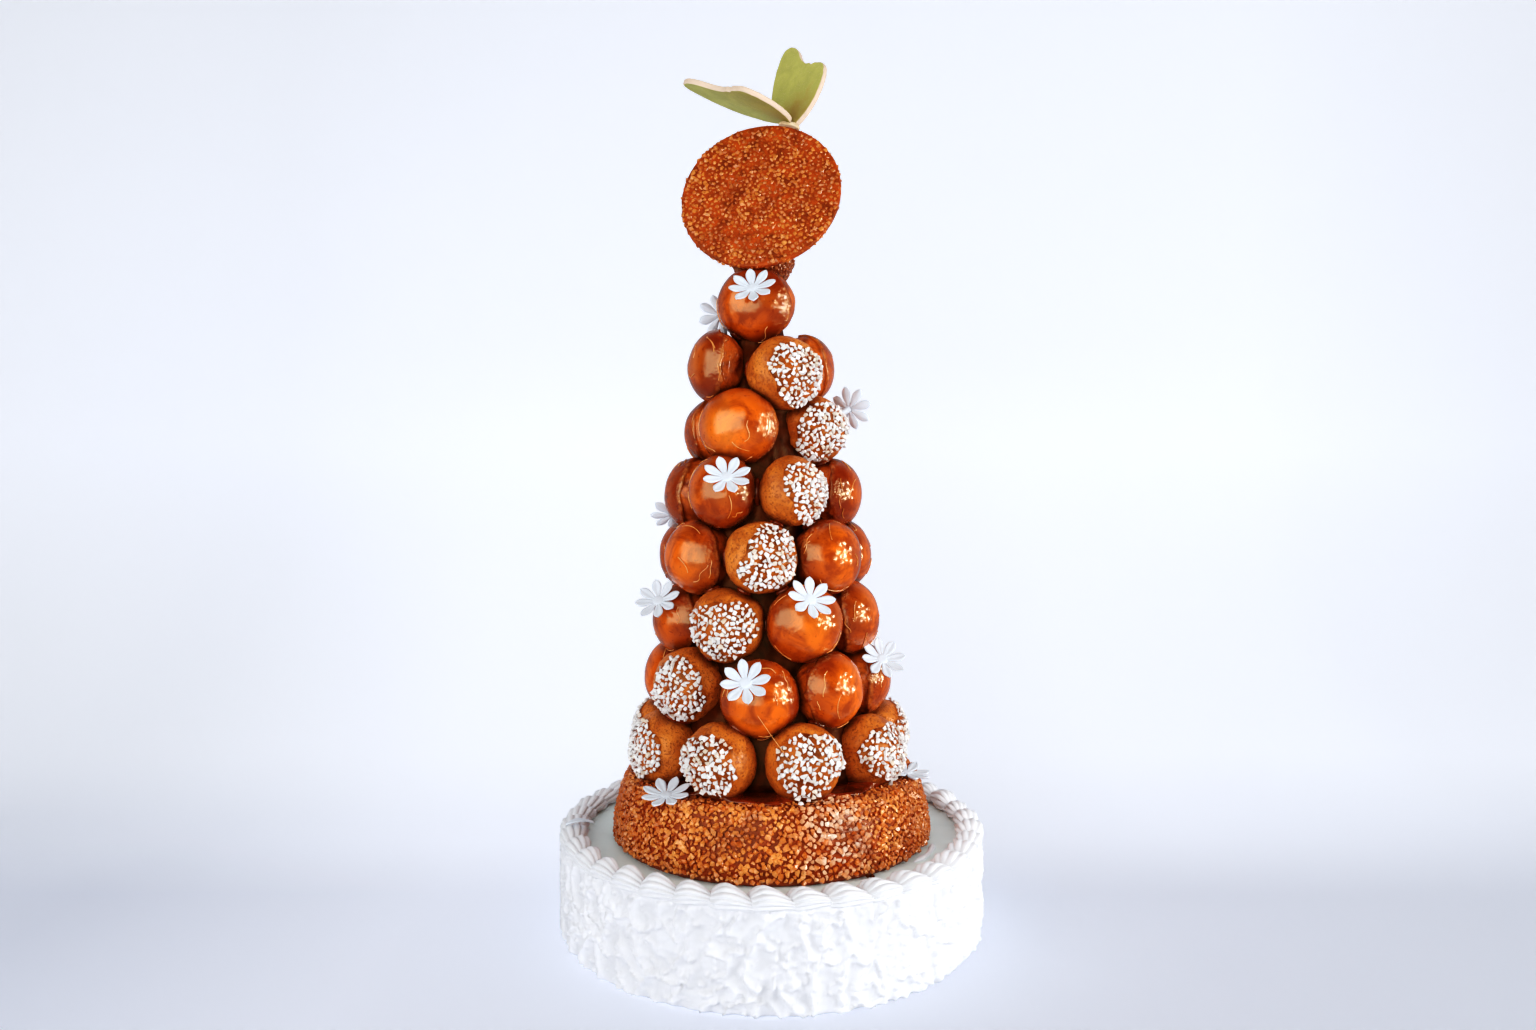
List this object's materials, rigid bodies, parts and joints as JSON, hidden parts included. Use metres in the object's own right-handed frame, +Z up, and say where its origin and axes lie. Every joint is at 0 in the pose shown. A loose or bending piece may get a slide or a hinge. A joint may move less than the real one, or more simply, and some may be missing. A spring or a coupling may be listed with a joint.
{
  "type": "croquembouche",
  "caption": "Celebration croquembouche: a cone of caramel and sugar-nib choux puffs on a nougatine base and an iced drum cake, with a nougatine disc and a butterfly on top.",
  "frame": {"origin": "centre of the drum's underside", "axes": "+Z up, the front that the top puff's flower and the disc's face look towards is -Y, +X to the right seen from the front"},
  "size_m": [0.2358, 0.235, 0.5016],
  "materials": {
    "icing": "satin white royal icing",
    "nougatine": "glossy crushed-almond nougatine",
    "caramel_puff": "choux with a glossy hard caramel shell",
    "sugar_puff": "baked choux with a cap of white sugar nibs",
    "gum_paste": "matte white gum paste",
    "wing": "matte olive-green paste with pale edges",
    "paste_dab": "matte pale paste"
  },
  "bodies": {
    "root": {"iced_drum": "icing", "piped_border": "icing", "nougatine_base": "nougatine", "choux_t1_1": "sugar_puff", "choux_t1_2": "sugar_puff", "choux_t1_3": "sugar_puff", "choux_t1_4": "sugar_puff", "choux_t1_5": "sugar_puff", "choux_t1_6": "sugar_puff", "choux_t1_7": "sugar_puff", "choux_t1_8": "sugar_puff", "choux_t1_9": "sugar_puff", "choux_t2_1": "caramel_puff", "choux_t2_2": "caramel_puff", "choux_t2_3": "caramel_puff", "choux_t2_4": "sugar_puff", "choux_t2_5": "caramel_puff", "choux_t2_6": "caramel_puff", "choux_t2_7": "caramel_puff", "choux_t2_8": "sugar_puff", "choux_t3_1": "caramel_puff", "choux_t3_2": "caramel_puff", "choux_t3_3": "caramel_puff", "choux_t3_4": "sugar_puff", "choux_t3_5": "caramel_puff", "choux_t3_6": "caramel_puff", "choux_t3_7": "sugar_puff", "choux_t4_1": "sugar_puff", "choux_t4_2": "caramel_puff", "choux_t4_3": "caramel_puff", "choux_t4_4": "caramel_puff", "choux_t4_5": "sugar_puff", "choux_t4_6": "caramel_puff", "choux_t4_7": "caramel_puff", "choux_t5_1": "sugar_puff", "choux_t5_2": "caramel_puff", "choux_t5_3": "caramel_puff", "choux_t5_4": "sugar_puff", "choux_t5_5": "caramel_puff", "choux_t5_6": "caramel_puff", "choux_t6_1": "caramel_puff", "choux_t6_2": "sugar_puff", "choux_t6_3": "sugar_puff", "choux_t6_4": "caramel_puff", "choux_t7_1": "sugar_puff", "choux_t7_2": "caramel_puff", "choux_t7_3": "sugar_puff", "choux_t7_4": "caramel_puff", "choux_t8_1": "caramel_puff", "flower_rim_left": "gum_paste", "flower_rim_right": "gum_paste", "flower_rim_back": "gum_paste", "loose_petal": "gum_paste", "nougatine_disc": "nougatine", "nougatine_cup": "nougatine", "wing_left": "wing", "wing_right": "wing", "butterfly_dab": "paste_dab"}
  },
  "joints": []
}
